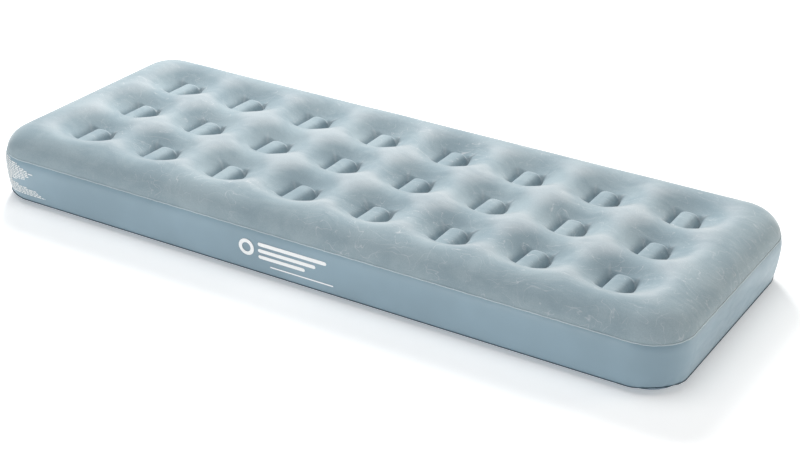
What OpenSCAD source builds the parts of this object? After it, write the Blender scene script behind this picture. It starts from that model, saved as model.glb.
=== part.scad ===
// Single air mattress. A flocked top sheet, a side wall and a bottom sheet are welded together
// along two seams. Coil tubes inside tie the sheets together, and each makes a dimple in the top
// with a raised bridge of sheet across it. A screw-in valve sits in a recess in one end wall.
// X runs along the mattress, Y across it and Z up. The origin is on the floor under its middle.

/* [Mattress] */
// Length over the widest part of the walls
mat_l = 1880; // [1600:10:2300]
// Width over the widest part of the walls
mat_w = 740; // [640:10:1000]
// Height when inflated
mat_h = 190; // [160:2:240]
// Radius of the corners, seen from above
corner_r = 110; // [95:5:150]
// Thickness of every sheet, drawn thicker than the real 0.4
sheet_t = 1.6; // [1.2:0.1:2.2]

/* [Edges and seams] */
// Radius of the rounded edge between the upper seam and the crown
top_edge_r = 65; // [50:1:75]
// Radius of the rounded edge between the floor and the lower seam
bottom_edge_r = 14; // [10:1:26]
// How far the upper seam stands in from the widest part of the wall
top_seam_in = 5; // [3:1:8]
// How far the lower seam stands in from the widest part of the wall
bottom_seam_in = 12; // [10:1:30]
// How far the widest part of the wall is below the upper seam
widest_drop = 20; // [12:1:28]
// Width of the flat welded lip along each seam
lip_w = 4; // [2:0.5:5]

/* [Coils and dimples] */
// Coils along the length
coil_cols = 8; // [5:1:9]
// Coils across the width
coil_rows = 3; // [2:1:4]
// Distance from the end of the mattress to the axes of the last coils
end_margin = 210; // [180:5:260]
// Distance from the side of the mattress to the axes of the outer coils
side_margin = 180; // [165:5:240]
// Flat crown left between two neighbouring dimples
crown_land = 6; // [2:1:20]
// Weld floor left round a coil's feet at the bottom of a dimple
floor_land = 2; // [1:0.5:6]
// Depth of a dimple in the top, from the crown to the weld floor
top_dimple_depth = 70; // [55:1:76]
// Depth of a dimple in the bottom, from the floor to the weld floor
bottom_dimple_depth = 34; // [30:1:45]
// Radius of the rounded edge of a dimple in the bottom
bottom_dimple_edge_r = 30; // [20:1:30]
// Width of the bridge of sheet over a coil
bridge_w = 60; // [50:1:72]
// How far the top of a bridge lies below the crown
top_bridge_drop = 32; // [26:1:40]
// How far a bridge in the bottom sheet lies above the floor
bottom_bridge_drop = 14; // [10:1:20]
// How far a coil's ends stay inside the edge of the weld floor
coil_end_in = 0; // [0:0.5:6]
// Thickness of a coil's wall
coil_t = 1.2; // [0.8:0.1:1.6]
// How far a coil's weld foot reaches out from its tube
coil_foot = 10; // [6:1:12]
// Length of a coil's weld foot
coil_foot_len = 52; // [30:1:56]
// Radius of the air hole through a coil
coil_hole_r = 8; // [5:1:12]

/* [Valve] */
// Distance of the valve from the middle of the end wall
valve_side = 150; // [0:5:200]
// Width of the weld flange behind the wall, round the recess
flange_w = 5.5; // [4:0.5:7]
// Room round the core's rim in the recess
recess_room = 4.5; // [3:0.5:6]
// Depth of the recess on the valve's axis
recess_depth = 13; // [12:0.5:18]
// Thickness of the moulded walls
mould_t = 1.5; // [1.2:0.1:1.8]
// Radius of the neck that the core screws into
neck_r = 19.5; // [18.5:0.1:23.5]
// Length of the neck behind the recess
neck_len = 12; // [9:0.5:18]
// Gap all round between the core and the neck
thread_gap = 0.08; // [0.03:0.01:0.1]
// Thickness of the core's gasket
gasket_t = 1.5; // [1:0.1:2]
// Width of the core's gasket
gasket_w = 4; // [3:0.5:5]
// Thickness of the core's rim
rim_t = 2; // [1.5:0.1:3]
// Grip ribs on the core's rim
rib_count = 16; // [8:2:24]
// Height of a grip rib
rib_h = 2; // [1:0.1:2.5]
// How much wider the mouth that the plug closes is than the nozzle's seat, all round
mouth_step = 1.5; // [1:0.1:2.5]
// Depth of the mouth
mouth_len = 5.6; // [5.4:0.1:8]
// Radius of the seat for a pump's nozzle
nozzle_r = 9; // [7.5:0.1:10.8]
// Length of the seat for a pump's nozzle
nozzle_len = 10; // [6:0.5:14]
// Thickness of the strap that holds the cap
strap_t = 1.6; // [1.2:0.1:2]
// Width of the strap
strap_w = 8; // [6:0.5:10]
// How far the cap's living hinge is outside the core's rim
hinge_out = 1; // [0:0.25:2]
// Thickness of the cap's plate
cap_t = 2; // [1.5:0.1:2.5]
// Length of the cap's plug
plug_len = 5; // [3:0.1:5]
// Gap all round between the plug and the mouth, at the cap
plug_gap = 0.1; // [0.05:0.01:0.2]
// How much the plug's radius narrows towards its end
plug_taper = 0.4; // [0.35:0.05:0.8]
// Thickness of the check flap
flap_t = 1.2; // [0.8:0.1:1.6]
// Radius of the check flap's pin
flap_pin_r = 0.8; // [0.6:0.05:1]
// Gap all round between the flap's knuckle and its pin
pin_gap = 0.05; // [0.03:0.01:0.08]

/* [Hidden] */
$fn = 96;
e = 0.5;                // how far a cut runs past the face it cuts
air = 0.3;              // gap between pieces that move past each other
face_gap = 0.05;        // gap between a seal and the face it shuts on

coil_names = [for (r = [1:coil_rows], c = [1:coil_cols]) str("coil_r", r, "c", c)];

top_seam_z = mat_h - top_edge_r;
bottom_seam_z = bottom_edge_r;
widest_z = top_seam_z - widest_drop;
lower_rise = widest_z - bottom_seam_z;
// each stretch of the wall is an arc that is upright at the widest height
upper_wall_r = (pow(widest_drop, 2) + pow(top_seam_in, 2)) / (2 * top_seam_in);
lower_wall_r = (pow(lower_rise, 2) + pow(bottom_seam_in, 2)) / (2 * bottom_seam_in);
wall_reach = bottom_seam_in + 10 * sheet_t;
top_edge_x = corner_r - top_seam_in - top_edge_r;
bottom_edge_x = corner_r - bottom_seam_in - bottom_edge_r;

coil_pitch_x = (mat_l - 2 * end_margin) / (coil_cols - 1);
coil_pitch_y = (mat_w - 2 * side_margin) / (coil_rows - 1);
bridge_r = bridge_w / 2;
floor_r = bridge_r + coil_foot + floor_land;
coil_len = 2 * (floor_r - coil_end_in);
rim_r = (min(coil_pitch_x, coil_pitch_y) - crown_land) / 2;
top_dimple_edge_r = rim_r - floor_r;
bottom_rim_r = floor_r + bottom_dimple_edge_r;
bridge_run = 2 * rim_r;
coil_r = bridge_r;
coil_bottom_z = bottom_dimple_depth + sheet_t;
coil_top_z = mat_h - top_dimple_depth - sheet_t;

valve_z = (bottom_seam_z + top_seam_z) / 2 + 1;
valve_x = -mat_l / 2 + wall_in(valve_z);
core_r = neck_r - thread_gap;
core_rim_r = neck_r + gasket_w + 0.5;
recess_r = core_rim_r + recess_room;
flange_r = recess_r + flange_w;
hinge_reach = core_rim_r + hinge_out;
mouth_r = nozzle_r + mouth_step;
// the recess's floor clears the wall where the wall curves inwards below the valve
recess_in = max(recess_depth, wall_in(valve_z - recess_r - mould_t) - wall_in(valve_z) + sheet_t + mould_t);
recess_floor_w = -recess_in;
gasket_top_w = recess_floor_w + face_gap + gasket_t;
rim_top_w = gasket_top_w + rim_t;
rib_top_w = rim_top_w + rib_h;
boss_r = mouth_r + 3;
strap_in_r = boss_r + thread_gap;
strap_low_w = rib_top_w + air;
strap_top_w = strap_low_w + strap_t;
boss_lip_w = strap_top_w + air;
boss_top_w = boss_lip_w + 0.8;
cap_low_w = boss_top_w + air;
cap_r = boss_r + 1.5;
plug_r = mouth_r - plug_gap;
mouth_low_w = boss_top_w - mouth_len;
nozzle_low_w = mouth_low_w - nozzle_len;
stop_t = 2;
stop_r = nozzle_r - 1;
core_end_w = nozzle_low_w - stop_t;
hinge_slit = 0.3;
flap_r = nozzle_r + 0.5;
knuckle_r = flap_pin_r + 0.9;
knuckle_len = 5;
flap_pin_x = nozzle_r + 2.5;
flap_pin_w = core_end_w - air - knuckle_r;
lug_t = 1.5;
flap_pin_len = knuckle_len + 2 * (air + lug_t) + 0.6;

// How far the wall's outer face stands in from the widest part, at a height
function wall_in(z) = z < widest_z
    ? lower_wall_r - sqrt(pow(lower_wall_r, 2) - pow(widest_z - z, 2))
    : upper_wall_r - sqrt(pow(upper_wall_r, 2) - pow(z - widest_z, 2));

// Carries a section round the mattress. The section's x is the distance outwards from the
// centre of a corner, and its y is the height.
module around() {
    for (side = [0:3]) {
        reach = (side % 2 == 0 ? mat_l : mat_w) / 2 - corner_r;
        half_run = (side % 2 == 0 ? mat_w : mat_l) / 2 - corner_r;
        rotate([0, 0, 90 * side]) translate([reach, half_run, 0]) {
            rotate([90, 0, 0]) linear_extrude(2 * half_run) children();
            rotate_extrude(angle = 90) children();
        }
    }
}

// The mattress's plan, moved in from its widest outline
module plan(inset) {
    plan_l = mat_l - 2 * inset;
    plan_w = mat_w - 2 * inset;
    plan_r = corner_r - inset;
    square([plan_l, plan_w - 2 * plan_r], center = true);
    square([plan_l - 2 * plan_r, plan_w], center = true);
    for (sx = [-1, 1], sy = [-1, 1]) {
        translate([sx * (plan_l / 2 - plan_r), sy * (plan_w / 2 - plan_r)]) circle(r = plan_r);
    }
}

module at_coils() {
    for (r = [1:coil_rows], c = [1:coil_cols]) at_coil(r, c) children();
}

module at_coil(r, c) {
    x = (c - (coil_cols + 1) / 2) * coil_pitch_x;
    y = (r - (coil_rows + 1) / 2) * coil_pitch_y;
    translate([x, y, 0]) children();
}

// A quarter of a ring that rounds an edge, with its middle at the origin
module edge_arc(r) {
    intersection() {
        square(r);
        difference() {
            circle(r = r);
            circle(r = r - sheet_t);
        }
    }
}

// A seam's flat lip. It starts inside the sheet and ends outside it.
module lip(seam_in, z) {
    translate([corner_r - seam_in - sheet_t, z]) square([lip_w + sheet_t, sheet_t]);
}

// Half the section of a dimple's sheet. The crown is at y = 0.
module dimple_section(edge_r, depth) {
    translate([floor_r + edge_r, -edge_r]) mirror([1, 0]) edge_arc(edge_r);
    translate([floor_r, -depth - sheet_t]) square([sheet_t, depth + sheet_t - edge_r]);
    translate([0, -depth - sheet_t]) square([floor_r, sheet_t]);
}

// Half the section of everything within a dimple's sheet, from just above its bridge
module dimple_room(edge_r, depth, bridge_drop) {
    room_top = bridge_drop - 4;
    difference() {
        translate([0, -edge_r]) square([floor_r + edge_r, edge_r - room_top]);
        translate([floor_r + edge_r, -edge_r]) circle(r = edge_r - sheet_t);
    }
    translate([0, -depth - sheet_t]) square([floor_r + sheet_t, depth + sheet_t - edge_r]);
}

// The space under a bridge, or the bridge's outer shape when inset is 0
module bridge_block(bridge_drop, inset) {
    r = bridge_r - inset;
    rotate([90, 0, 0]) linear_extrude(bridge_run, center = true) {
        translate([0, -bridge_drop - bridge_r]) circle(r = r);
        translate([-r, -bridge_drop - 3 * bridge_r]) square([2 * r, 2 * bridge_r]);
    }
}

// One dimple with its bridge. The crown is at z = 0.
module dimple(edge_r, depth, bridge_drop) {
    difference() {
        union() {
            rotate_extrude() dimple_section(edge_r, depth);
            intersection() {
                rotate_extrude() dimple_room(edge_r, depth, bridge_drop);
                bridge_block(bridge_drop, 0);
            }
        }
        bridge_block(bridge_drop, sheet_t);
    }
}

module top_sheet() color("#b1bfc6") {
    difference() {
        union() {
            around() {
                translate([top_edge_x, top_seam_z]) edge_arc(top_edge_r);
                lip(top_seam_in, top_seam_z);
            }
            translate([0, 0, mat_h - sheet_t]) linear_extrude(sheet_t) plan(corner_r - top_edge_x);
        }
        at_coils() translate([0, 0, mat_h - sheet_t - e]) cylinder(r = rim_r, h = sheet_t + 2 * e);
    }
    at_coils() translate([0, 0, mat_h]) dimple(top_dimple_edge_r, top_dimple_depth, top_bridge_drop);
}

module bottom_sheet() color("#6f8796") {
    difference() {
        union() {
            around() {
                translate([bottom_edge_x, bottom_seam_z]) mirror([0, 1]) edge_arc(bottom_edge_r);
                lip(bottom_seam_in, bottom_seam_z - sheet_t);
            }
            linear_extrude(sheet_t) plan(corner_r - bottom_edge_x);
        }
        at_coils() translate([0, 0, -e]) cylinder(r = bottom_rim_r, h = sheet_t + 2 * e);
    }
    at_coils() mirror([0, 0, 1]) {
        dimple(bottom_dimple_edge_r, bottom_dimple_depth, bottom_bridge_drop);
    }
}

// One stretch of the wall's section, between two heights
module wall_arc(r, z_low, z_high) {
    reach = min(r, wall_reach);
    intersection() {
        translate([corner_r - reach, z_low]) square([reach, z_high - z_low]);
        translate([corner_r - r, widest_z]) difference() {
            circle(r = r);
            circle(r = r - sheet_t);
        }
    }
}

module side_wall() color("#8ca3b0") {
    difference() {
        around() {
            wall_arc(lower_wall_r, bottom_seam_z, widest_z);
            wall_arc(upper_wall_r, widest_z, top_seam_z);
            lip(top_seam_in, top_seam_z - sheet_t);
            lip(bottom_seam_in, bottom_seam_z);
        }
        at_valve() translate([0, 0, -recess_in]) cylinder(r = recess_r, h = 2 * recess_in);
    }
}

module coil_plan(inset) {
    r = coil_r - inset;
    end_y = coil_len / 2 - coil_r;
    square([2 * r, 2 * end_y], center = true);
    for (s = [-1, 1]) translate([0, s * end_y]) circle(r = r);
}

// A tube welded by its out-turned feet to the top sheet above and the bottom sheet below
module coil() color("#8fa3ad") {
    height = coil_top_z - coil_bottom_z;
    foot_reach = 2 * (coil_r + coil_foot);
    translate([0, 0, coil_bottom_z]) difference() {
        union() {
            linear_extrude(height) coil_plan(0);
            for (z = [0, height - coil_t]) {
                translate([-foot_reach / 2, -coil_foot_len / 2, z]) cube([foot_reach, coil_foot_len, coil_t]);
            }
        }
        translate([0, 0, -e]) linear_extrude(height + 2 * e) coil_plan(coil_t);
        translate([0, 0, height / 2]) rotate([90, 0, 0]) {
            cylinder(r = coil_hole_r, h = coil_len + 2 * e, center = true);
        }
    }
}

// The valve's own frame: z points out of the end wall, x points up, and z = 0 is the wall's face
module at_valve() {
    translate([valve_x, -valve_side, valve_z]) rotate([0, -90, 0]) children();
}

// Everything inside the end wall's face, moved in, beside the valve
module inside_wall(inset) {
    depth = 2 * recess_in;
    upper_x = corner_r - upper_wall_r;
    deep_x = corner_r - bottom_seam_in - depth;
    width = 2 * flange_r + 2;
    translate([corner_r - mat_l / 2, width / 2 - valve_side, 0]) mirror([1, 0, 0]) {
        rotate([90, 0, 0]) linear_extrude(width) {
            intersection() {
                translate([deep_x, bottom_seam_z]) square([corner_r - deep_x, lower_rise]);
                translate([corner_r - lower_wall_r, widest_z]) circle(r = lower_wall_r - inset);
            }
            intersection() {
                translate([deep_x, widest_z]) square([corner_r - deep_x, widest_drop]);
                union() {
                    translate([upper_x, widest_z]) circle(r = upper_wall_r - inset);
                    translate([deep_x, widest_z]) square([max(upper_x - deep_x, e), widest_drop]);
                }
            }
        }
    }
}

module ring(r_out, r_in, w_low, w_high) {
    translate([0, 0, w_low]) difference() {
        cylinder(r = r_out, h = w_high - w_low);
        translate([0, 0, -e]) cylinder(r = r_in, h = w_high - w_low + 2 * e);
    }
}

module valve_base() color("#5f7786") {
    back_w = recess_floor_w - mould_t;
    intersection() {
        difference() {
            inside_wall(sheet_t);
            inside_wall(sheet_t + mould_t);
        }
        at_valve() ring(flange_r, recess_r, -2 * recess_in, recess_in);
    }
    intersection() {
        inside_wall(sheet_t);
        at_valve() ring(recess_r + mould_t, recess_r, back_w, recess_in);
    }
    at_valve() {
        ring(recess_r + mould_t, neck_r, back_w, recess_floor_w);
        ring(neck_r + mould_t, neck_r, recess_floor_w - neck_len, back_w);
    }
}

// A block of the core's half section, between two radii and two depths
module core_block(r_in, r_out, w_low, w_high) {
    translate([r_in, w_low]) square([r_out - r_in, w_high - w_low]);
}

module core_section() {
    tube_r = nozzle_r + mould_t;
    difference() {
        union() {
            core_block(stop_r, tube_r, core_end_w, nozzle_low_w);
            core_block(nozzle_r, tube_r, nozzle_low_w, gasket_top_w);
            core_block(nozzle_r, mouth_r + mould_t, min(mouth_low_w, gasket_top_w) - mould_t, gasket_top_w);
            core_block(nozzle_r, core_r, gasket_top_w - mould_t, gasket_top_w);
            core_block(core_r - mould_t, core_r, recess_floor_w - neck_len, gasket_top_w);
            core_block(nozzle_r, core_rim_r, gasket_top_w, rim_top_w);
            core_block(nozzle_r, boss_r + mould_t, rim_top_w, rib_top_w);
            core_block(nozzle_r, boss_r, rib_top_w, boss_lip_w);
            core_block(nozzle_r, boss_r + 1, boss_lip_w, boss_top_w);
        }
        core_block(0, mouth_r, mouth_low_w, boss_top_w + e);
    }
}

module valve_core() color("#4d6472") at_valve() {
    rib_len = gasket_w - 0.5;
    ear_x = flap_r;
    ear_low_w = flap_pin_w - knuckle_r;
    rotate_extrude() core_section();
    // the cross that the flap shuts on
    for (a = [0, 90]) rotate([0, 0, a]) {
        translate([-stop_r - e, -mould_t / 2, core_end_w]) cube([2 * stop_r + 2 * e, mould_t, stop_t]);
    }
    // the grip ribs
    for (i = [0:rib_count - 1]) rotate([0, 0, i * 360 / rib_count]) {
        translate([core_rim_r - gasket_w, -mould_t / 2, rim_top_w - e]) cube([rib_len, mould_t, rib_h + e]);
    }
    // the ears that hold the flap's pin
    for (s = [-1, 1]) translate([0, s * (knuckle_len / 2 + air + lug_t / 2), 0]) difference() {
        translate([ear_x, -lug_t / 2, ear_low_w]) {
            cube([flap_pin_x + knuckle_r - ear_x, lug_t, nozzle_low_w - ear_low_w]);
        }
        translate([flap_pin_x, 0, flap_pin_w]) rotate([90, 0, 0]) {
            cylinder(r = flap_pin_r, h = lug_t + 2 * e, center = true);
        }
    }
}

module core_gasket() color("#2f3a40") at_valve() {
    ring(neck_r + gasket_w, core_r, recess_floor_w + face_gap, gasket_top_w);
}

module flap_pin() color("#c9ced1") at_valve() {
    translate([flap_pin_x, 0, flap_pin_w]) rotate([90, 0, 0]) {
        cylinder(r = flap_pin_r, h = flap_pin_len, center = true);
    }
}

module check_flap() color("#3d464b") at_valve() {
    difference() {
        union() {
            translate([0, 0, core_end_w - face_gap - flap_t]) cylinder(r = flap_r, h = flap_t);
            translate([0, -knuckle_len / 2, core_end_w - face_gap - air - flap_t]) {
                cube([flap_pin_x, knuckle_len, flap_t]);
            }
            translate([flap_pin_x, 0, flap_pin_w]) rotate([90, 0, 0]) {
                cylinder(r = knuckle_r, h = knuckle_len, center = true);
            }
        }
        translate([flap_pin_x, 0, flap_pin_w]) rotate([90, 0, 0]) {
            cylinder(r = flap_pin_r + pin_gap, h = knuckle_len + 2 * e, center = true);
        }
    }
}

// The strap's ring turns on the core's boss, and its tab runs down to the living hinge
module cap_strap() color("#7f97a5") at_valve() {
    difference() {
        union() {
            translate([0, 0, strap_low_w]) cylinder(r = cap_r + 1.5, h = strap_t);
            translate([-hinge_reach, -strap_w / 2, strap_low_w]) cube([hinge_reach, strap_w, strap_t]);
        }
        translate([0, 0, strap_low_w - e]) cylinder(r = strap_in_r, h = strap_t + 2 * e);
    }
}

module valve_cap() color("#7f97a5") at_valve() {
    difference() {
        union() {
            translate([0, 0, cap_low_w]) cylinder(r = cap_r, h = cap_t);
            translate([0, 0, cap_low_w - plug_len]) {
                cylinder(r1 = plug_r - plug_taper, r2 = plug_r, h = plug_len);
            }
            translate([hinge_slit - hinge_reach, -strap_w / 2, cap_low_w]) {
                cube([hinge_reach - hinge_slit, strap_w, cap_t]);
            }
            // the thumb tab
            translate([0, -strap_w / 2, cap_low_w]) cube([cap_r + 4, strap_w, cap_t]);
        }
        translate([0, 0, cap_low_w - plug_len - e]) {
            cylinder(r = plug_r - plug_taper - mould_t, h = plug_len + e);
        }
    }
}

top_sheet();
side_wall();
bottom_sheet();
for (r = [1:coil_rows], c = [1:coil_cols]) {
    at_coil(r, c) coil();
}
valve_base();
valve_core();
core_gasket();
check_flap();
flap_pin();
cap_strap();
valve_cap();
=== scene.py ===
import math

import bpy
import numpy as np
from bpy.props import FloatProperty, FloatVectorProperty, IntProperty, PointerProperty
from mathutils import Matrix, Vector


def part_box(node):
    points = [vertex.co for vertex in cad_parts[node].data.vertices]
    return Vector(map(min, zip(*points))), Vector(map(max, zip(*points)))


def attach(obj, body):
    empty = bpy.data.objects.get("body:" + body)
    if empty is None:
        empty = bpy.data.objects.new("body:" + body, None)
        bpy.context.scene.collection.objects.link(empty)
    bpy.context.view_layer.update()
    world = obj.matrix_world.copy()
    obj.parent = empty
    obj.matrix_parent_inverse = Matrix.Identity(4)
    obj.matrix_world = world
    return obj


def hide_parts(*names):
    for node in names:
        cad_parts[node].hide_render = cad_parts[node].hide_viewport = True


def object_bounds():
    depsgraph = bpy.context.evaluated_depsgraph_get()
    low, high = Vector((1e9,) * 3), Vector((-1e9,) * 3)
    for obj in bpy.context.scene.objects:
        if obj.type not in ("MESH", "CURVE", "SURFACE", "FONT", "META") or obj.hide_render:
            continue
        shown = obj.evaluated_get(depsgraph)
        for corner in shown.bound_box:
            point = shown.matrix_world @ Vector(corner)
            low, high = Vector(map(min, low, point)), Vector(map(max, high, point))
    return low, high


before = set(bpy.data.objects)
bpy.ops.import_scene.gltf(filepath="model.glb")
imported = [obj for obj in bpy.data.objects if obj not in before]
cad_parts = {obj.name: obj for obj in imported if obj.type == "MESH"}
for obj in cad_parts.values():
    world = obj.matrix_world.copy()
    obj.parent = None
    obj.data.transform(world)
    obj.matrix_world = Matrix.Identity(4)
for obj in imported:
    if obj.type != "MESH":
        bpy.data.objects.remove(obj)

bl_info = {
    "name": "Flocked Air Mattress",
    "version": (1, 0, 0),
    "blender": (4, 5, 0),
    "location": "3D View > Sidebar > Air Mattress",
    "description": "Makes the sheets, seams, prints, valve finishes and stage of a flocked air mattress",
    "category": "Object",
}

MM = 0.001
CAD_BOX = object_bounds()
TOP_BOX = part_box("top_sheet")
WALL_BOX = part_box("side_wall")
BOTTOM_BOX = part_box("bottom_sheet")
COIL_ROWS = 3
COIL_COLS = 8


def coil_axes():
    """The coils' upright axes, as columns of x and y."""
    places = []
    for row in range(1, COIL_ROWS + 1):
        for col in range(1, COIL_COLS + 1):
            low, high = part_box(f"coil_r{row}c{col}")
            places.append(((low.x + high.x) / 2, (low.y + high.y) / 2))
    return np.array(places)


COILS = coil_axes()
MATTRESS = "mattress"
COIL_GRID_REACH = (57 * MM, 54 * MM)  # how far round a coil, in x and y, a sheet's grid is fine
BOWL_STRETCH = (1.03, 0.98)  # a bowl is slightly longer in x than in y
BRIDGE_WINDOW = 90 * MM  # nothing of a bridge reaches further than this from its middle
BRIDGE_LEAN = 0.035  # spread of the bridges' random lean, in radians
PUCKER_SIZE = 0.6 * MM
SIDE_PUCKER = 0.12  # the puckers' strength along the straight sides
PRINT_GAP = 0.9 * MM  # how far the prints stand off the wall's own line, over its film and swell


# ---------------------------------------------------------------------------------------
# Sizes and colours that a user would change
# ---------------------------------------------------------------------------------------

def length(name, description, default, low=0.0, high=5.0):
    return FloatProperty(name=name, description=description, default=default, min=low, max=high,
                         unit="LENGTH", precision=4)


def share(name, description, default):
    return FloatProperty(name=name, description=description, default=default, min=0, max=1,
                         subtype="FACTOR")


def colour(name, description, red, green, blue):
    """A colour property. Its default is given as sRGB from 0 to 255."""
    return FloatVectorProperty(name=name, description=description, default=linear(red, green, blue),
                               subtype="COLOR", min=0, max=1, size=3)


def linear(*srgb):
    steps = [c / 255 for c in srgb]
    return tuple(c / 12.92 if c <= 0.04045 else ((c + 0.055) / 1.055) ** 2.4 for c in steps)


class MattressBody(bpy.types.PropertyGroup):
    corner_radius: length("Corner radius", "Radius of the corners, seen from above", 110 * MM)
    seam_inset: length("Upper seam inset", "How far the upper seam stands in from the outline", 5 * MM)
    foot_inset: length("Lower seam inset", "How far the lower seam stands in from the outline", 12 * MM)
    widest_drop: length("Widest drop", "How far the widest line lies below the upper seam", 20 * MM)
    edge_reach: length("Edge reach", "How far the rounded top edge reaches in from the seam", 100 * MM)
    foot_height: length("Lower seam height", "Height of the lower seam along the sides", 15 * MM)
    corner_lift: length("Corner lift", "How much higher the lower seam stands at the corners", 5 * MM)
    tuck: length("Tuck", "How far the bottom sheet reaches in before it lies on the floor", 56 * MM)
    film: length("Film thickness", "Thickness of the sheets", 0.8 * MM)
    lip_width: length("Lip width", "Width of the welded lip along a seam", 2.0 * MM)
    lip_half: length("Lip half thickness", "Half the thickness of the welded lip", 0.9 * MM)


class DimpleShape(bpy.types.PropertyGroup):
    reach: length("Reach", "Radius at which a dimple runs out into the crown", 135 * MM)
    bowl_depth: length("Bowl depth", "Depth of a dimple's bowl, without its slots", 45 * MM)
    bridge_half: length("Bridge half width", "Half the width of the bridge over a coil", 28 * MM)
    bridge_height: length("Bridge height", "How far a bridge rises above its weld lines", 32 * MM)
    bridge_run: length("Bridge run", "Length of the bridge to its rounded end", 28 * MM)
    bridge_tail: length("Bridge tail", "Length of the bridge to the end that runs into the bowl", 50 * MM)
    bridge_end: length("Bridge end", "How far a bridge's ends reach past its straight part", 15 * MM)
    bridge_drop: length("Bridge drop", "How far the bridge's top lies below the crown", 27 * MM)
    slot_depth: length("Slot depth", "Depth of the weld line below the bowl", 24 * MM)
    slot_wall: length("Slot wall", "How quickly the bowl falls into the slot over a weld line", 7 * MM)
    slot_run: length("Slot run", "Half the length of a slot", 39 * MM)
    crease_depth: length("Crease depth", "Depth of the small folds at the ends of a weld", 1.3 * MM)
    shift: FloatVectorProperty(name="Shift", description="How far the top's bridges lie off their coils",
                               size=2, default=(-4 * MM, -3 * MM), subtype="XYZ")


class Finishes(bpy.types.PropertyGroup):
    flock: colour("Flock", "Colour of the flocked top", 163, 178, 184)
    flock_shade: colour("Brushed flock", "Colour of the flock where its pile lies the other way",
                        146, 163, 171)
    # Pale flock for the scratches, and for the painted highlight on ridges and crests.
    flock_light: colour("Scratch and highlight flock", "Colour of the flock where it is rubbed light", 203, 207, 210)
    wall: colour("Wall", "Colour of the side wall's vinyl", 141, 165, 178)
    seam: colour("Seam", "Colour of the welded upper seam", 200, 213, 218)
    base: colour("Base", "Colour of the bottom sheet's vinyl", 128, 148, 162)
    # Painted shadow: the lower seam's dark colour stands for the shade in the gap under the wall.
    foot: colour("Lower seam", "Colour of the welded lower seam", 58, 78, 92)
    coil: colour("Coil", "Colour of the inner coils", 150, 168, 178)
    moulding: colour("Moulding", "Colour of the valve's base", 98, 120, 135)
    core: colour("Valve core", "Colour of the valve's core", 76, 97, 111)
    cap: colour("Valve cap", "Colour of the cap and its strap", 118, 140, 154)
    rubber: colour("Rubber", "Colour of the gasket and the check flap", 44, 50, 54)
    ink: colour("Ink", "Colour of the printed mark", 252, 253, 253)
    small_ink: colour("Small print ink", "Colour of the small printed block", 240, 243, 243)


class StageSettings(bpy.types.PropertyGroup):
    lens: length("Focal length", "Focal length in metres", 78.0 * MM, high=1)
    azimuth: FloatProperty(name="Azimuth", description="Camera's turn round the mattress",
                           default=math.radians(29.77), subtype="ANGLE")
    elevation: FloatProperty(name="Elevation", description="Camera's height above the horizon",
                             default=math.radians(26.0), subtype="ANGLE")
    roll: FloatProperty(name="Roll", description="Camera's turn about its own axis",
                        default=math.radians(1.75), subtype="ANGLE")
    distance: length("Distance", "Camera's distance from its target", 4.165, high=20)
    target: FloatVectorProperty(name="Target", description="Point that the camera looks at",
                                default=(0.1146, -0.0906, 0.0902), subtype="TRANSLATION")
    key: FloatProperty(name="Key light", description="Power of the large light behind", default=350)
    overhead: FloatProperty(name="Overhead light", description="Power of the wide light overhead",
                            default=78)
    fill: FloatProperty(name="Fill light", description="Power of the low light in front", default=9)
    card: FloatProperty(name="Card", description="Power of the warm card at the right end", default=26)
    sky: FloatProperty(name="Surround", description="Brightness of the white surround", default=0.36)
    floor: colour("Floor", "Colour of the floor", 250, 250, 250)


# ---------------------------------------------------------------------------------------
# Materials
# ---------------------------------------------------------------------------------------

class Value:
    """A node's output. Python's operators on it add Math nodes."""

    def __init__(self, finish, socket):
        self.finish = finish
        self.socket = socket

    def math(self, operation, *terms, clamp=False):
        settings = {"operation": operation, "use_clamp": clamp}
        return self.finish.node("ShaderNodeMath", settings, dict(enumerate(terms)))

    def __add__(self, other):
        return self.math("ADD", self, other)

    __radd__ = __add__

    def __sub__(self, other):
        return self.math("SUBTRACT", self, other)

    def __rsub__(self, other):
        return self.math("SUBTRACT", other, self)

    def __mul__(self, other):
        return self.math("MULTIPLY", self, other)

    def clamped(self):
        return self.math("ADD", self, 0.0, clamp=True)

    def size(self):
        return self.math("ABSOLUTE", self)


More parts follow.
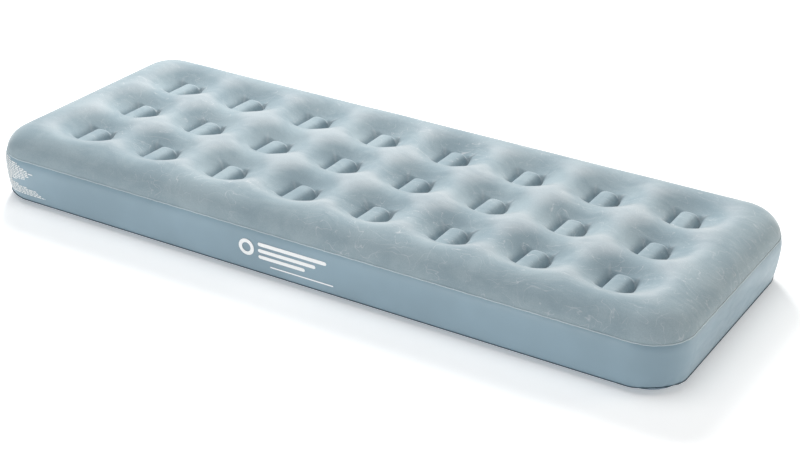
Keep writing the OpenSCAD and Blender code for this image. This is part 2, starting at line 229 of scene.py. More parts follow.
class Finish:
    """One material, built from nodes, with a Principled shader at its end."""

    def __init__(self, name, **constants):
        self.material = bpy.data.materials.new(name)
        self.material.use_nodes = True
        self.tree = self.material.node_tree
        self.shader = self.tree.nodes["Principled BSDF"]
        for socket, value in constants.items():
            self.shader.inputs[socket.replace("_", " ")].default_value = value

    def node(self, kind, settings=None, inputs=None, output=0):
        """A node of any kind: its settings are set first, then its sockets' values and links."""
        made = self.tree.nodes.new(kind)
        for setting, value in (settings or {}).items():
            setattr(made, setting, value)
        for socket, value in (inputs or {}).items():
            self.feed(made.inputs[socket], value)
        return Value(self, made.outputs[output])

    def feed(self, socket, value):
        if isinstance(value, Value):
            self.tree.links.new(value.socket, socket)
        elif socket.type == "RGBA":
            socket.default_value = (*tuple(value)[:3], 1)
        else:
            socket.default_value = value

    def into(self, **links):
        """Feeds the shader's own sockets."""
        for socket, value in links.items():
            self.feed(self.shader.inputs[socket.replace("_", " ")], value)

    def place(self, scale=(1, 1, 1), turn=(0, 0, 0)):
        """The object's own coordinates in metres, turned and then scaled."""
        where = self.node("ShaderNodeTexCoord", output="Object")
        return self.node("ShaderNodeMapping", {"vector_type": "POINT"},
                         {"Vector": where, "Rotation": turn, "Scale": scale})

    def noise(self, where, scale, detail=2.0, roughness=0.5, distortion=0.0):
        return self.node("ShaderNodeTexNoise", {"noise_dimensions": "3D"},
                         {"Vector": where, "Scale": scale, "Detail": detail,
                          "Roughness": roughness, "Distortion": distortion})

    def stretch(self, value, low, high, to_low=0.0, to_high=1.0):
        """Maps low..high to to_low..to_high with soft ends."""
        return self.node("ShaderNodeMapRange", {"interpolation_type": "SMOOTHSTEP"},
                         {"Value": value, "From Min": low, "From Max": high,
                          "To Min": to_low, "To Max": to_high})

    def mix(self, factor, first, second, blend="MIX"):
        settings = {"data_type": "RGBA", "blend_type": blend}
        return self.node("ShaderNodeMix", settings, {0: factor, 6: first, 7: second}, output=2)

    def attribute(self, name):
        """A number that tag_points stored on the mesh."""
        return self.node("ShaderNodeAttribute", {"attribute_name": name}, output="Fac")

    def grey(self, light):
        """A grey to multiply a colour by."""
        return self.node("ShaderNodeCombineColor", None, {0: light, 1: light, 2: light})

    def bump(self, height, distance, strength=1.0, normal=None):
        inputs = {"Height": height, "Distance": distance, "Strength": strength}
        if normal is not None:
            inputs["Normal"] = normal
        return self.node("ShaderNodeBump", None, inputs)


def flock_finish(colours):
    """Short velvet pile: soft cloudy shading, brushed patches, pale scratches, a fine nap and a painted
    highlight on ridges and crests.
    """
    finish = Finish("flocked_velvet", Roughness=0.9, Specular_IOR_Level=0.1,
                    Sheen_Weight=0.55, Sheen_Roughness=0.32)
    finish.shader.inputs["Sheen Tint"].default_value = (1.0, 0.99, 0.98, 1)
    drift = finish.node("ShaderNodeTexNoise", None,
                        {"Vector": finish.place(), "Scale": 5.0, "Detail": 2.0}, output="Color")
    swirl = finish.node("ShaderNodeVectorMath", {"operation": "MULTIPLY_ADD"},
                        {0: drift, 1: (0.16, 0.16, 0.0), 2: finish.place()})
    clouds = finish.noise(swirl, 7.0, detail=5.0, roughness=0.62)
    drawn = finish.node("ShaderNodeMapping", {"vector_type": "POINT"},
                        {"Vector": swirl, "Rotation": (0, 0, math.radians(-58)), "Scale": (14, 60, 30)})
    brush = finish.noise(drawn, 1.0, detail=4.0, roughness=0.65)
    patches = finish.noise(finish.place(), 3.4, detail=2.0)
    nap = finish.noise(finish.place(), 480.0, detail=2.0, roughness=0.7)
    brushed = finish.stretch(clouds * 0.72 + brush * 0.28, 0.38, 0.60)
    base = finish.mix(brushed * 0.75, colours.flock_shade, colours.flock)
    scratched = (fine_lines(finish, swirl, 19.0, 0.0045) + fine_lines(finish, drawn, 0.8, 0.009)
                 * 0.8).clamped()
    worn = finish.stretch(patches, 0.40, 0.58) * finish.stretch(brush, 0.38, 0.58)
    base = finish.mix((scratched * worn * 0.75).clamped(), base, colours.flock_light)
    # Painted highlight: lighter flock on the ridge tops, on the crests beside the folds and on the
    # bridges' far ends.
    painted = finish.attribute("crease") * 0.6 + finish.attribute("ridge") * (0.25 + brush * 0.3)
    base = finish.mix(painted.clamped(), base, colours.flock_light)
    grain = finish.stretch(nap, 0.3, 0.7, 0.94, 1.06)
    base = finish.mix(1.0, base, finish.grey(grain), blend="MULTIPLY")
    pile = finish.bump(nap, 0.0006, 0.35)
    finish.into(Base_Color=base, Roughness=finish.stretch(brushed, 0, 1, 0.95, 0.85),
                Normal=finish.bump(clouds, 0.004, 0.25, pile))
    return finish.material


def fine_lines(finish, where, scale, width):
    """Thin wandering lines, where a noise crosses its middle value."""
    wander = finish.noise(where, scale, detail=1.5, roughness=0.4)
    away = (wander - 0.5).size()
    return 1 - finish.stretch(away, 0.0, width)


def vinyl_finish(name, shade, gloss, grain=0.00012, cloud=0.06):
    """Calendered vinyl: a fine leather grain, faint clouding and a satin gloss."""
    finish = Finish(name, Specular_IOR_Level=0.5, Coat_Roughness=0.2)
    clouds = finish.noise(finish.place(), 5.0, detail=3.0)
    light = finish.stretch(clouds, 0.3, 0.7, 1 - cloud, 1 + cloud)
    cells = finish.node("ShaderNodeTexVoronoi", {"feature": "SMOOTH_F1"},
                        {"Vector": finish.place(), "Scale": 620.0, "Smoothness": 0.6}, output="Distance")
    scuffs = finish.noise(finish.place((1, 1, 3)), 26.0, detail=5.0, roughness=0.65)
    ripple = finish.noise(finish.place((1, 1, 0.35)), 30.0, detail=1.0)
    finish.into(Base_Color=finish.mix(1.0, shade, finish.grey(light), blend="MULTIPLY"),
                Roughness=finish.stretch(scuffs, 0.35, 0.7, gloss - 0.05, gloss + 0.09),
                Normal=finish.bump(ripple, 0.0012, 0.22, finish.bump(cells, grain, 0.6)))
    return finish.material


def moulded_finish(name, shade, gloss, sheen=0.0):
    """Injection moulded plastic or rubber: a faint spark-eroded texture and handling scuffs."""
    finish = Finish(name, Specular_IOR_Level=0.45, Sheen_Weight=sheen)
    texture = finish.noise(finish.place(), 2600.0, detail=1.5)
    scuffs = finish.noise(finish.place((1, 1, 2)), 160.0, detail=4.0, roughness=0.7)
    worn = finish.stretch(scuffs, 0.56, 0.75)
    pale = tuple(min(1.0, c * 1.35 + 0.02) for c in shade)
    finish.into(Base_Color=finish.mix(worn * 0.35, shade, pale),
                Roughness=finish.stretch(scuffs, 0.3, 0.7, gloss - 0.06, gloss + 0.12),
                Normal=finish.bump(texture, 0.00006, 0.5))
    return finish.material


def ink_finish(name, shade):
    """Screen-printed ink, a little broken up by the vinyl's grain."""
    finish = Finish(name, Specular_IOR_Level=0.4)
    breaks = finish.noise(finish.place(), 900.0, detail=2.0)
    dim = tuple(c * 0.86 for c in shade)
    finish.into(Base_Color=finish.mix(finish.stretch(breaks, 0.58, 0.75), shade, dim),
                Roughness=finish.stretch(breaks, 0.3, 0.7, 0.42, 0.58),
                Normal=finish.bump(breaks, 0.00005, 0.4))
    return finish.material


def floor_finish(shade):
    finish = Finish("studio_floor", Specular_IOR_Level=0.1, Emission_Strength=0.28)
    mottle = finish.noise(finish.place(), 1.4, detail=2.0)
    dim = tuple(c * 0.985 for c in shade)
    pale = finish.mix(mottle, shade, dim)
    finish.into(Base_Color=pale, Emission_Color=pale, Roughness=finish.stretch(mottle, 0, 1, 0.85, 0.95))
    return finish.material


# ---------------------------------------------------------------------------------------
# Shapes
# ---------------------------------------------------------------------------------------

def new_piece(name, points, faces, material):
    """A mesh object with smooth shading and one material."""
    mesh = bpy.data.meshes.new(name)
    mesh.from_pydata([tuple(p) for p in points], [], [tuple(int(i) for i in f) for f in faces])
    mesh.update()
    mesh.materials.append(material)
    mesh.polygons.foreach_set("use_smooth", [True] * len(mesh.polygons))
    piece = bpy.data.objects.new(name, mesh)
    bpy.context.scene.collection.objects.link(piece)
    return piece


def tag_points(piece, name, values):
    """Stores one number for each point, which a material can read."""
    layer = piece.data.attributes.new(name, "FLOAT", "POINT")
    layer.data.foreach_set("value", np.asarray(values, np.float32))


def thicken(piece, film):
    """Gives a film its thickness, inwards from its outer face."""
    skin = piece.modifiers.new("film", "SOLIDIFY")
    skin.thickness = film
    skin.offset = -1
    skin.use_even_offset = False


def settle(piece):
    """Applies a piece's modifiers."""
    shown = piece.evaluated_get(bpy.context.evaluated_depsgraph_get())
    mesh = bpy.data.meshes.new_from_object(shown)
    piece.modifiers.clear()
    piece.data = mesh


def smooth_step(value, low, high):
    t = np.clip((value - low) / (high - low), 0, 1)
    return t * t * (3 - 2 * t)


def corner_share(outward):
    """0 where the outline's outward directions face a side squarely, and 1 well into a corner."""
    return smooth_step(np.minimum(np.abs(outward[:, 0]), np.abs(outward[:, 1])), 0, 0.6)


def puckers(gone):
    """The seams' small puckers, at distances round the outline."""
    return np.sin(gone * math.tau / (29 * MM)) + 0.7 * np.sin(gone * math.tau / (43 * MM) + 1)


def spaced(half, centres, reach, fine, coarse):
    """Places from -half to half that are close together near the centres."""
    stops = [-half]
    for centre in centres:
        stops += [centre - reach, centre + reach]
    stops.append(half)
    places = []
    for index, (low, high) in enumerate(zip(stops, stops[1:])):
        count = max(1, round((high - low) / (fine if index % 2 else coarse)))
        places += [low + (high - low) * k / count for k in range(count)]
    return np.array(places + [half])


def coil_grid(outline, inset, fine, coarse):
    """A sheet's grid lines in x and in y, inside an inset, close together round the coils."""
    halves = (outline.half_l - inset, outline.half_w - inset)
    return [spaced(half, sorted(set(COILS[:, axis].round(6))), COIL_GRID_REACH[axis], fine, coarse)
            for axis, half in enumerate(halves)]


class Outline:
    """The mattress's rounded outline, seen from above."""

    def __init__(self, body):
        low, high = WALL_BOX
        self.half_l = (high.x - low.x) / 2
        self.half_w = (high.y - low.y) / 2
        self.radius = body.corner_radius
        self.run_l = self.half_l - self.radius
        self.run_w = self.half_w - self.radius

    def inset_of(self, x, y):
        """How far points lie inside the outline."""
        over_x = np.abs(x) - self.run_l
        over_y = np.abs(y) - self.run_w
        corner = self.radius - np.hypot(np.maximum(over_x, 0), np.maximum(over_y, 0))
        side = np.minimum(self.half_l - np.abs(x), self.half_w - np.abs(y))
        return np.where((over_x > 0) & (over_y > 0), corner, side)

    def round_corners(self, x, y, inset):
        """Moves a rectangular grid's corners onto the outline at that inset."""
        r = self.radius - inset
        u = (np.abs(x) - self.run_l) / r
        v = (np.abs(y) - self.run_w) / r
        inside = (u > 0) & (v > 0)
        round_u = u * np.sqrt(np.maximum(0, 1 - v * v / 2))
        round_v = v * np.sqrt(np.maximum(0, 1 - u * u / 2))
        new_x = np.where(inside, np.sign(x) * (self.run_l + r * round_u), x)
        new_y = np.where(inside, np.sign(y) * (self.run_w + r * round_v), y)
        return new_x, new_y

    def outward(self, x, y):
        """The outline's outward directions at points on or near it."""
        ex = np.sign(x) * np.maximum(np.abs(x) - self.run_l, 0)
        ey = np.sign(y) * np.maximum(np.abs(y) - self.run_w, 0)
        size = np.maximum(np.hypot(ex, ey), 1e-9)
        return ex / size, ey / size

    def walk(self, step, corner_step):
        """Goes round once. Gives each station's inner point, outward direction and distance."""
        stations = []
        gone = 0.0
        for side in range(4):
            turn = side * math.pi / 2
            reach, run = (self.run_l, self.run_w) if side % 2 == 0 else (self.run_w, self.run_l)
            spin = np.array([[math.cos(turn), -math.sin(turn)], [math.sin(turn), math.cos(turn)]])
            count = round(2 * run / step)
            for k in range(count):
                along = -run + 2 * run * k / count
                stations.append((spin @ (reach, along), spin @ (1, 0), gone + along + run))
            gone += 2 * run
            arc = math.pi / 2
            count = round(arc * self.radius / corner_step)
            for k in range(count):
                a = arc * k / count
                stations.append((spin @ (reach, run), spin @ (math.cos(a), math.sin(a)),
                                 gone + a * self.radius))
            gone += arc * self.radius
        centres, normals, distances = zip(*stations)
        return np.array(centres), np.array(normals), np.array(distances)

    def front(self, s):
        """The inner point and outward direction on the front wall, s along it from its middle."""
        past = max(0.0, abs(s) - self.run_l)
        a = past / self.radius
        side = 1 if s > 0 else -1
        x = side * min(abs(s), self.run_l)
        return (x, -self.run_w), (side * math.sin(a), -math.cos(a))


class Wall:
    """The side wall's section: two arcs that stand upright at the widest height."""

    def __init__(self, body):
        self.body = body
        self.top = WALL_BOX[1].z
        self.widest = self.top - body.widest_drop
        self.upper_r = self.arc_radius(body.widest_drop, body.seam_inset)
        self.lower_r = self.arc_radius(self.widest - WALL_BOX[0].z, body.foot_inset)

    @staticmethod
    def arc_radius(rise, inset):
        return (rise * rise + inset * inset) / (2 * inset)

    def inset(self, z):
        radius = np.where(z > self.widest, self.upper_r, self.lower_r)
        return radius - np.sqrt(radius * radius - (z - self.widest) ** 2)

    def foot(self, gone, normals):
        """The lower seam's height: it lifts at the corners, where it is puckered."""
        corner = corner_share(normals)
        pucker = puckers(gone) * (SIDE_PUCKER + corner) * PUCKER_SIZE
        return self.body.foot_height + corner * self.body.corner_lift + pucker


def grid_sheet(outline, xs, ys, inset, rings):
    """A grid whose border follows the outline at an inset, with rings of points outside it.

    rings are pairs of an inset and a value, such as a height. Gives x, y, each point's ring value
    (nan on the grid itself) and the faces."""
    across, down = np.meshgrid(xs, ys)
    x, y = outline.round_corners(across.ravel(), down.ravel(), inset)
    count_x, count_y = len(xs), len(ys)
    index = np.arange(count_x * count_y).reshape(count_y, count_x)
    faces = [np.stack([index[:-1, :-1], index[:-1, 1:], index[1:, 1:], index[1:, :-1]], -1).reshape(-1, 4)]
    border = np.concatenate([index[0, :-1], index[:-1, -1], index[-1, :0:-1], index[:0:-1, 0]])
    out_x, out_y = outline.outward(x[border], y[border])
    all_x, all_y, values = [x], [y], [np.full(len(x), np.nan)]
    previous = border
    for number, (ring_inset, value) in enumerate(rings):
        current = len(x) + number * len(border) + np.arange(len(border))
        all_x.append(x[border] + out_x * (inset - ring_inset))
        all_y.append(y[border] + out_y * (inset - ring_inset))
        values.append(np.full(len(border), value))
        faces.append(np.stack([previous, current, np.roll(current, -1), np.roll(previous, -1)], -1))
        previous = current
    return np.concatenate(all_x), np.concatenate(all_y), np.concatenate(values), np.concatenate(faces)


def dimple_field(x, y, crown, shape, rng):
    """Sinks the dimples into a crown, and lays the bridges over the coils. Gives z and the mask of the
    painted highlight on crests.
    """
    z = crown.copy()
    crease = np.zeros_like(x)
    for cx, cy in COILS:
        r = np.hypot((x - cx) / BOWL_STRETCH[0], (y - cy) / BOWL_STRETCH[1])
        r = np.minimum(r, shape.reach)
        z -= shape.bowl_depth * (1 + np.cos(math.pi * r / shape.reach)) / 2
    for cx, cy in COILS:
        cx, cy = cx + shape.shift[0], cy + shape.shift[1]
        near = np.flatnonzero((np.abs(x - cx) < BRIDGE_WINDOW) & (np.abs(y - cy) < BRIDGE_WINDOW))
        u, v = x[near] - cx, y[near] - cy
        lean = rng.normal(0, BRIDGE_LEAN)
        u, v = u - lean * v, v + lean * u
        z[near], crease[near] = bridge_over(u, v, z[near], crown[near], shape, rng)
    return z, crease


def bridge_over(u, v, bowl, crown, shape, rng):
    """One dimple's weld slots, the bridge between them, the small folds at their ends, and a mask for the
    painted highlight on crests.
    """
    past = np.maximum(np.abs(u) - shape.bridge_half, 0) / shape.slot_wall
    window = 1 - smooth_step(np.abs(v + 4 * MM), 0.75 * shape.slot_run, 1.2 * shape.slot_run)
    bowl = bowl - shape.slot_depth * np.exp(-past ** 1.2) * window
    crease = np.zeros_like(u)
    for side in (-1, 1):
        for end in (-1, 1):
            start = np.array([side * (shape.bridge_half + 3 * MM), end * shape.slot_run * 0.86])
            angle = math.radians(rng.uniform(25, 75))
            along = np.array([side * math.cos(angle), end * math.sin(angle)])
            reach = rng.uniform(16, 34) * MM
            du, dv = u - start[0], v - start[1]
            far = du * along[0] + dv * along[1]
            off = du * -along[1] + dv * along[0]
            fade = smooth_step(far, -6 * MM, 2 * MM) * (1 - smooth_step(far, 0.3 * reach, reach))
            fold = np.exp(-(off / (2.4 * MM)) ** 2) * fade
            beside = np.exp(-((off - 4.5 * MM) / (2.6 * MM)) ** 2) * fade
            depth = shape.crease_depth * rng.uniform(0.4, 1.3)
            bowl = bowl - depth * fold + 0.6 * depth * beside
            # The crest beside a fold is marked for a painted highlight.
            crease = np.maximum(crease, 0.5 * beside)
    lift = rng.uniform(-1.5, 1.5) * MM
    end = np.maximum(np.maximum(v - shape.bridge_run, -v - shape.bridge_tail), 0) / shape.bridge_end
    w = np.abs(u / shape.bridge_half) ** 3.4 + end ** 2.6
    dome = shape.bridge_height * (1 - np.sqrt(np.clip(1 - w, 0, 1)))
    bridge = np.where(w < 1, crown - shape.bridge_drop + lift - dome, -1.0)
    gap = bridge - bowl
    blend = 1.0 * MM
    joined = bowl + (gap + blend) ** 2 / (4 * blend)
    top = np.where(gap > blend, bridge, np.where(gap < -blend, bowl, joined))
    # The bridge's rounded far end is marked for a painted highlight.
    tip_highlight = np.exp(-((end - 0.45) / 0.16) ** 2) * (gap > 0) * (v > 0)
    return top, np.maximum(crease, tip_highlight)


def waves(x, y, rng, size, count=14, low=0.12, high=0.45):
    """Slow random swells, from a few crossed sines."""
    total = np.zeros_like(x)
    for _ in range(count):
        span = rng.uniform(low, high)
        angle = rng.uniform(0, math.tau)
        phase = rng.uniform(0, math.tau)
        total += np.sin((x * math.cos(angle) + y * math.sin(angle)) * math.tau / span + phase)
    return total * size / math.sqrt(count)


def sweep_ring(name, outline, section, material, line):
    """Carries a closed section round the outline. line gives the inset and height to carry it at."""
    centres, normals, gone = outline.walk(8 * MM, 4 * MM)
    insets, heights = line(gone, normals)
    count, sides = len(centres), len(section)
    points = np.zeros((count, sides, 3))
    for k, (inset, z) in enumerate(section):
        points[:, k, :2] = centres + normals * (outline.radius - insets - inset)[:, None]
        points[:, k, 2] = heights + z
    station = np.arange(count)
    faces = []
    for k in range(sides):
        a, b = station * sides + k, station * sides + (k + 1) % sides
        following = np.roll(station, -1) * sides
        faces.append(np.stack([a, following + k, following + (k + 1) % sides, b], -1))
    return new_piece(name, points.reshape(-1, 3), np.concatenate(faces), material)


# ---------------------------------------------------------------------------------------
# Operators
# ---------------------------------------------------------------------------------------

class MATTRESS_OT_stage(bpy.types.Operator):
    """Makes the floor, the surround, the lights and the camera"""
    bl_idname = "mattress.stage"
    bl_label = "Stage"

    def execute(self, context):
        stage = context.scene.mattress_stage
        self.make_floor(stage)
        self.make_surround(context, stage)
        self.make_lights(stage)
        self.make_camera(context, stage)
        return {"FINISHED"}

    def make_floor(self, stage):
        half = 30.0
        level = CAD_BOX[0].z - 0.4 * MM  # just under the bottom sheet, so that the two don't flicker
        corners = [(-half, -half, level), (half, -half, level), (half, half, level), (-half, half, level)]
        floor = new_piece("floor", corners, [(0, 1, 2, 3)], floor_finish(stage.floor))

    def make_surround(self, context, stage):
        world = bpy.data.worlds.new("studio")
        world.use_nodes = True
        sky = world.node_tree.nodes["Background"]
        pale_blue = (0.93, 0.97, 1.0, 1)
        sky.inputs["Color"].default_value = pale_blue
        sky.inputs["Strength"].default_value = stage.sky
        context.scene.world = world
        context.scene.view_settings.view_transform = "Standard"

    def make_lights(self, stage):
        self.area_light("key", (-2.7, 3.5, 3.5), (0.2, 0, 0.1), 2.0, stage.key, (1.0, 0.995, 0.98))
        self.area_light("fill", (-0.5, -3.1, 0.32), (0.7, -0.37, 0.1), 0.7, stage.fill,
                        (1.0, 0.99, 0.97))
        self.area_light("overhead", (-0.3, -0.7, 4.4), (0.1, 0, 0.1), 3.5, stage.overhead,
                        (0.98, 0.99, 1.0))
        self.area_light("card", (3.3, 1.9, 0.9), (0.9, 0.1, 0.05), 1.3, stage.card, (1.0, 0.86, 0.70))

    def area_light(self, name, place, target, size, power, tint):
        """A square light at a place, turned to a target."""
        light = bpy.data.lights.new(name, "AREA")
        light.shape = "SQUARE"
        light.size = size
        light.energy = power
        light.color = tint
        lamp = bpy.data.objects.new(name, light)
        lamp.location = place
        lamp.rotation_euler = (Vector(target) - Vector(place)).to_track_quat("-Z", "Y").to_euler()
        bpy.context.scene.collection.objects.link(lamp)

    def make_camera(self, context, stage):
        az, el, roll = stage.azimuth, stage.elevation, stage.roll
        back = Vector((math.sin(az) * math.cos(el), -math.cos(az) * math.cos(el), math.sin(el)))
        right = (-back).cross(Vector((0, 0, 1))).normalized()
        up = right.cross(-back)
        right, up = (right * math.cos(roll) + up * math.sin(roll),
                     up * math.cos(roll) - right * math.sin(roll))
        data = bpy.data.cameras.new("camera")
        data.sensor_width = 36
        data.lens = stage.lens / MM
        camera = bpy.data.objects.new("camera", data)
        turn = Matrix((right, up, back)).transposed()
        place = Vector(stage.target) + back * stage.distance
        camera.matrix_world = Matrix.Translation(place) @ turn.to_4x4()
        context.scene.collection.objects.link(camera)
        context.scene.camera = camera


class MATTRESS_OT_top_sheet(bpy.types.Operator):
    """Makes the flocked top sheet with its dimples and bridges"""
    bl_idname = "mattress.top_sheet"
    bl_label = "Top sheet"

    def execute(self, context):
        body = context.scene.mattress_body
        shape = context.scene.mattress_dimples
        rng = np.random.default_rng(11)
        outline = Outline(body)
        seam_z, crown_z = WALL_BOX[1].z, TOP_BOX[1].z
        rise = crown_z - seam_z
        grid_inset = 56 * MM
        start = math.acos(1 - (grid_inset - body.seam_inset) / body.edge_reach)
        ring_count = 16
        angles = [start * (1 - (k + 1) / ring_count) for k in range(ring_count)]
        rings = [(body.seam_inset + body.edge_reach * (1 - math.cos(a)), seam_z + rise * math.sin(a))
                 for a in angles]
        xs, ys = coil_grid(outline, grid_inset, 3 * MM, 6.5 * MM)
        x, y, heights, faces = grid_sheet(outline, xs, ys, grid_inset, rings)
        inset = outline.inset_of(x, y)
        depth = np.clip(1 - (inset - body.seam_inset) / body.edge_reach, 0, 1)
        crown = seam_z + rise * np.sqrt(np.maximum(0, 1 - depth ** 2))
        crown = np.where(np.isnan(heights), crown, heights)
        sunk, crease = dimple_field(x, y, crown, shape, rng)
        # Painted highlight: high ground between the dimples, away from the edge, is marked for lighter
        # flock.
        near_crown = 1 - smooth_step(crown - sunk, 3 * MM, 17 * MM)
        ridge = near_crown * smooth_step(inset, 60 * MM, 130 * MM)
        away_from_seam = smooth_step(inset, 12 * MM, 70 * MM)
        sunk += waves(x, y, rng, 0.7 * MM) * away_from_seam
        highest = crown_z + 4 * MM
        piece = new_piece("top_sheet_flocked", np.stack([x, y, np.minimum(sunk, highest)], -1), faces,
                          flock_finish(context.scene.mattress_finishes))
        tag_points(piece, "crease", crease)
        tag_points(piece, "ridge", ridge)
        thicken(piece, body.film)
        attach(piece, MATTRESS)
        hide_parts("top_sheet")
        return {"FINISHED"}


class MATTRESS_OT_side_wall(bpy.types.Operator):
    """Makes the side wall with the valve's opening"""
    bl_idname = "mattress.side_wall"
    bl_label = "Side wall"

    def execute(self, context):
        body = context.scene.mattress_body
        outline, wall = Outline(body), Wall(body)
        rows = 32
        centres, normals, gone = outline.walk(9 * MM, 3.5 * MM)
        count = len(centres)
        corner, pucker = corner_share(normals), puckers(gone)
        foot = wall.foot(gone, normals)
        # Nothing swells at the valve's end, so that the cap can fold down in front of the wall.
        clear = smooth_step(centres[:, 0] + normals[:, 0] * outline.radius, -0.93, -0.82)
        points = np.zeros((rows + 1, count, 3))
        for k in range(rows + 1):
            up = k / rows
            z = foot + (wall.top - foot) * up
            low = 1 - smooth_step(up, 0, 0.3)
            high = smooth_step(up, 0.8, 1)
            ripple = pucker * (low * (SIDE_PUCKER + corner) + high * SIDE_PUCKER) * PUCKER_SIZE
            swell = 0.45 * MM * np.sin(gone * math.tau / 0.41 + 2) * math.sin(math.pi * up)
            out = outline.radius - wall.inset(z) + np.minimum(ripple + swell, 1 * MM) * clear
            points[k, :, :2] = centres + normals * out[:, None]
            points[k, :, 2] = z
        index = np.arange((rows + 1) * count).reshape(rows + 1, count)
        following = np.roll(index, -1, axis=1)
        faces = np.stack([index[:-1], following[:-1], following[1:], index[1:]], -1).reshape(-1, 4)
        colours = context.scene.mattress_finishes
        piece = new_piece("side_wall_vinyl", points.reshape(-1, 3), faces,
                          vinyl_finish("wall_vinyl", colours.wall, 0.36))
        thicken(piece, body.film)
        self.cut_valve_hole(piece)
        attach(piece, MATTRESS)
        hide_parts("side_wall")
        return {"FINISHED"}

    def cut_valve_hole(self, piece):
        """Cuts the round hole that the valve's recess shows through."""
        low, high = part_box("valve_base")
        hole_r = 28.5 * MM
        bpy.ops.mesh.primitive_cylinder_add(vertices=96, radius=hole_r, depth=0.12,
                                            location=((low.x + high.x) / 2, (low.y + high.y) / 2,
                                                      (low.z + high.z) / 2),
                                            rotation=(0, math.pi / 2, 0))
        cutter = bpy.context.object
        cut = piece.modifiers.new("hole", "BOOLEAN")
        cut.operation = "DIFFERENCE"
        cut.solver = "EXACT"
        cut.object = cutter
        settle(piece)
        piece.data.set_sharp_from_angle(angle=math.radians(30))
        bpy.data.objects.remove(cutter)


class ShallowDimples:
    """The bottom sheet's dimples, which are pressed flatter than the top's."""
    reach = 92 * MM
    bowl_depth = 20 * MM
    bridge_half = 28 * MM
    bridge_height = 22 * MM
    bridge_run = 22 * MM
    bridge_tail = 22 * MM
    bridge_end = 20 * MM
    bridge_drop = 12 * MM
    slot_depth = 16 * MM
    slot_wall = 9 * MM
    slot_run = 32 * MM
    crease_depth = 0.8 * MM
    shift = (0, 0)


class MATTRESS_OT_bottom_sheet(bpy.types.Operator):
    """Makes the bottom sheet with its shallow dimples"""
    bl_idname = "mattress.bottom_sheet"
    bl_label = "Bottom sheet"

    def execute(self, context):
        body = context.scene.mattress_body
        rng = np.random.default_rng(5)
        outline, wall = Outline(body), Wall(body)
        grid_inset = body.foot_inset + body.tuck
        ring_count = 14
        rings = [(grid_inset - body.tuck * k / ring_count, k / ring_count)
                 for k in range(1, ring_count + 1)]
        xs, ys = coil_grid(outline, grid_inset, 4.5 * MM, 10 * MM)
        x, y, up, faces = grid_sheet(outline, xs, ys, grid_inset, rings)
        up = np.where(np.isnan(up), 0.0, up)
        outward = np.stack(outline.outward(x, y), -1)
        # The angle stands in for the distance round the outline, so these puckers are of the same
        # size as the wall's but don't lie where the wall's do.
        foot = wall.foot(np.arctan2(y, x) * 1.2, outward)
        steepness = 1.7 + 3 * corner_share(outward)
        # The sheet is made upside down and turned over at the end, so that its dimples go upwards.
        z, _ = dimple_field(x, y, -foot * up ** steepness, ShallowDimples(), rng)
        piece = new_piece("bottom_sheet_vinyl", np.stack([x, y, -z], -1), faces[:, ::-1],
                          vinyl_finish("base_vinyl", context.scene.mattress_finishes.base, 0.46,
                                       grain=0.0003))
        thicken(piece, body.film)
        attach(piece, MATTRESS)
        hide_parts("bottom_sheet")
        return {"FINISHED"}


class MATTRESS_OT_seams(bpy.types.Operator):
    """Makes the welded lips along the upper and lower seams"""
    bl_idname = "mattress.seams"
    bl_label = "Seams"

    def execute(self, context):
        body = context.scene.mattress_body
        colours = context.scene.mattress_finishes
        outline, wall = Outline(body), Wall(body)
        lip = self.lip(body.lip_width, body.lip_half)
        self.keep(sweep_ring("upper_seam", outline, lip, vinyl_finish("seam_vinyl", colours.seam, 0.5),
                             lambda gone, normals: self.upper_line(wall, gone)), "wall_vinyl")
        # The lower lip's dark colour is painted shadow under the wall.
        self.keep(sweep_ring("lower_seam", outline, lip, vinyl_finish("lower_seam_shadow_vinyl", colours.foot, 0.5),
                             lambda gone, normals: self.lower_line(wall, gone, normals)), "base_vinyl")
        return {"FINISHED"}

    def upper_line(self, wall, gone):
        wave = np.sin(gone * math.tau / (61 * MM)) + np.sin(gone * math.tau / (23 * MM) + 2)
        return np.full_like(gone, wall.body.seam_inset), wall.top + 0.3 * MM + 0.25 * MM * wave

    def lower_line(self, wall, gone, normals):
        foot = wall.foot(gone, normals)
        return wall.inset(foot), foot

    def lip(self, width, half):
        """A flat lip's section with rounded edges: two films laid face to face."""
        inner = 1.2 * MM
        return [(inner, -half), (half - width, -half), (0.3 * half - width, -0.7 * half),
                (-width, 0), (0.3 * half - width, 0.7 * half), (half - width, half), (inner, half)]

    def keep(self, piece, slot):
        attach(piece, MATTRESS)


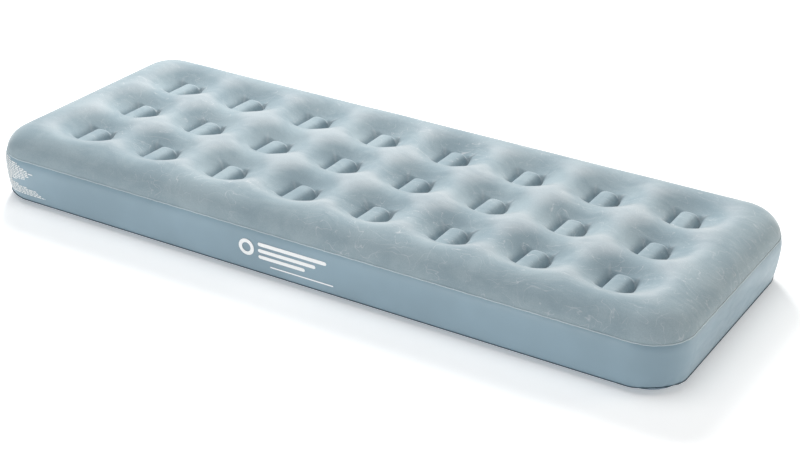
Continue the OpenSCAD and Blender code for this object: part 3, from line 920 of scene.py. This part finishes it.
class MATTRESS_OT_prints(bpy.types.Operator):
    """Prints the plain mark and the block of small bars on the front wall"""
    bl_idname = "mattress.prints"
    bl_label = "Prints"

    def execute(self, context):
        body = context.scene.mattress_body
        colours = context.scene.mattress_finishes
        self.outline, self.wall = Outline(body), Wall(body)
        mark = [self.disc(-0.139, 0.078, 0.012, 0.0215)]
        bars_start = -0.106
        for width, z in ((0.190, 0.095), (0.160, 0.078), (0.130, 0.061)):
            mark.append(self.bar(bars_start, bars_start + width, z, 4.8 * MM))
        mark.append(self.bar(-0.075, 0.10, 0.040, 1.9 * MM))
        self.make("front_mark", mark, ink_finish("mark_ink", colours.ink))
        rng = np.random.default_rng(3)
        block = []
        upper_lines, lower_lines = 11, 8
        top_line, line_gap, line_start = 0.1195, 4.7 * MM, -0.975
        for row in range(upper_lines + lower_lines):
            z = top_line - row * line_gap
            if row < upper_lines:
                end = -0.880 + 0.080 * math.sin(math.pi * (row + 1) / (upper_lines + 2))
            else:
                end = -0.868 + 0.105 * smooth_step(row, upper_lines, upper_lines + lower_lines - 2)
            for first, last in self.words(rng, line_start, end + rng.uniform(-14, 12) * MM):
                block.append(self.bar(first, last, z, 1.55 * MM))
        self.make("corner_print", block, ink_finish("small_ink", colours.small_ink))
        return {"FINISHED"}

    def words(self, rng, start, end):
        """Splits a line into short plain bars."""
        at = start
        while at < end:
            width = rng.uniform(5, 16) * MM
            yield at, min(at + width, end)
            at += width + 1.6 * MM

    def on_wall(self, s, z):
        (x, y), (nx, ny) = self.outline.front(s)
        out = self.outline.radius - self.wall.inset(z) + PRINT_GAP
        return (x + nx * out, y + ny * out, z)

    def bar(self, first, last, z, half):
        """A bar with round ends, as a strip of quads."""
        head = [half * (1 - math.cos(math.pi / 2 * k / 4)) for k in range(5)]
        straight = last - first - 2 * half
        count = max(1, round(straight / (6 * MM)))
        middle = [half + straight * k / count for k in range(1, count)]
        tail = [last - first - t for t in reversed(head)]
        least = 0.1 * half
        points, faces = [], []
        for t in head + middle + tail:
            end = min(t, last - first - t)
            h = half if end >= half else math.sqrt(max(half * half - (half - end) ** 2, least ** 2))
            points += [self.on_wall(first + t, level) for level in (z - h, z, z + h)]
        for k in range(len(points) // 3 - 1):
            a = 3 * k
            faces += [(a, a + 3, a + 4, a + 1), (a + 1, a + 4, a + 5, a + 2)]
        return points, faces

    def disc(self, s, z, inner, outer):
        """A plain ring."""
        count = 48
        points, faces = [], []
        for k in range(count):
            a = math.tau * k / count
            for r in (inner, (inner + outer) / 2, outer):
                points.append(self.on_wall(s + r * math.cos(a), z + r * math.sin(a)))
        for k in range(count):
            a, b = 3 * k, 3 * ((k + 1) % count)
            faces += [(a, a + 1, b + 1, b), (a + 1, a + 2, b + 2, b + 1)]
        return points, faces

    def make(self, name, parts, material):
        points, faces = [], []
        for part_points, part_faces in parts:
            base = len(points)
            points += part_points
            faces += [tuple(base + i for i in face) for face in part_faces]
        piece = new_piece(name, points, faces, material)
        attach(piece, MATTRESS)


def paint(node, material):
    """Gives one of the part's own solids its only material."""
    node.data.materials.clear()
    node.data.materials.append(material)


class MATTRESS_OT_inner_coils(bpy.types.Operator):
    """Finishes the coils inside"""
    bl_idname = "mattress.inner_coils"
    bl_label = "Inner coils"

    def execute(self, context):
        material = vinyl_finish("coil_vinyl", context.scene.mattress_finishes.coil, 0.4)
        for name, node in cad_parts.items():
            if name.startswith("coil_"):
                paint(node, material)
        return {"FINISHED"}


class MATTRESS_OT_valve(bpy.types.Operator):
    """Finishes the valve's base, core, seals, strap and cap"""
    bl_idname = "mattress.valve"
    bl_label = "Valve"

    def execute(self, context):
        colours = context.scene.mattress_finishes
        finishes = {
            "valve_base": moulded_finish("base_moulding", colours.moulding, 0.4),
            "valve_core": moulded_finish("core_moulding", colours.core, 0.45),
            "valve_cap": moulded_finish("cap_moulding", colours.cap, 0.38),
            "core_gasket": moulded_finish("gasket_rubber", colours.rubber, 0.7),
            "flap_pin": moulded_finish("pin_nylon", linear(206, 210, 212), 0.3),
        }
        finishes["cap_strap"] = finishes["valve_cap"]
        finishes["check_flap"] = finishes["core_gasket"]
        for name, material in finishes.items():
            paint(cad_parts[name], material)
        return {"FINISHED"}


class MATTRESS_PT_panel(bpy.types.Panel):
    """Lists the pieces of the mattress"""
    bl_idname = "MATTRESS_PT_panel"
    bl_label = "Air Mattress"
    bl_space_type = "VIEW_3D"
    bl_region_type = "UI"
    bl_category = "Air Mattress"

    def draw(self, context):
        for operator in OPERATORS:
            self.layout.operator(operator.bl_idname)
        for name in GROUPS:
            settings = getattr(context.scene, name)
            box = self.layout.box()
            for key in settings.__annotations__:
                box.prop(settings, key)


GROUPS = {
    "mattress_body": MattressBody,
    "mattress_dimples": DimpleShape,
    "mattress_finishes": Finishes,
    "mattress_stage": StageSettings,
}
OPERATORS = (
    MATTRESS_OT_stage,
    MATTRESS_OT_top_sheet,
    MATTRESS_OT_side_wall,
    MATTRESS_OT_bottom_sheet,
    MATTRESS_OT_seams,
    MATTRESS_OT_prints,
    MATTRESS_OT_inner_coils,
    MATTRESS_OT_valve,
)
CLASSES = (*GROUPS.values(), *OPERATORS, MATTRESS_PT_panel)


def register():
    for made in CLASSES:
        bpy.utils.register_class(made)
    for name, group in GROUPS.items():
        setattr(bpy.types.Scene, name, PointerProperty(type=group))


def unregister():
    for name in GROUPS:
        delattr(bpy.types.Scene, name)
    for made in reversed(CLASSES):
        bpy.utils.unregister_class(made)


def main():
    register()
    bpy.ops.mattress.stage()
    bpy.ops.mattress.top_sheet()
    bpy.ops.mattress.side_wall()
    bpy.ops.mattress.bottom_sheet()
    bpy.ops.mattress.seams()
    bpy.ops.mattress.prints()
    bpy.ops.mattress.inner_coils()
    bpy.ops.mattress.valve()


if __name__ == "__main__":
    main()
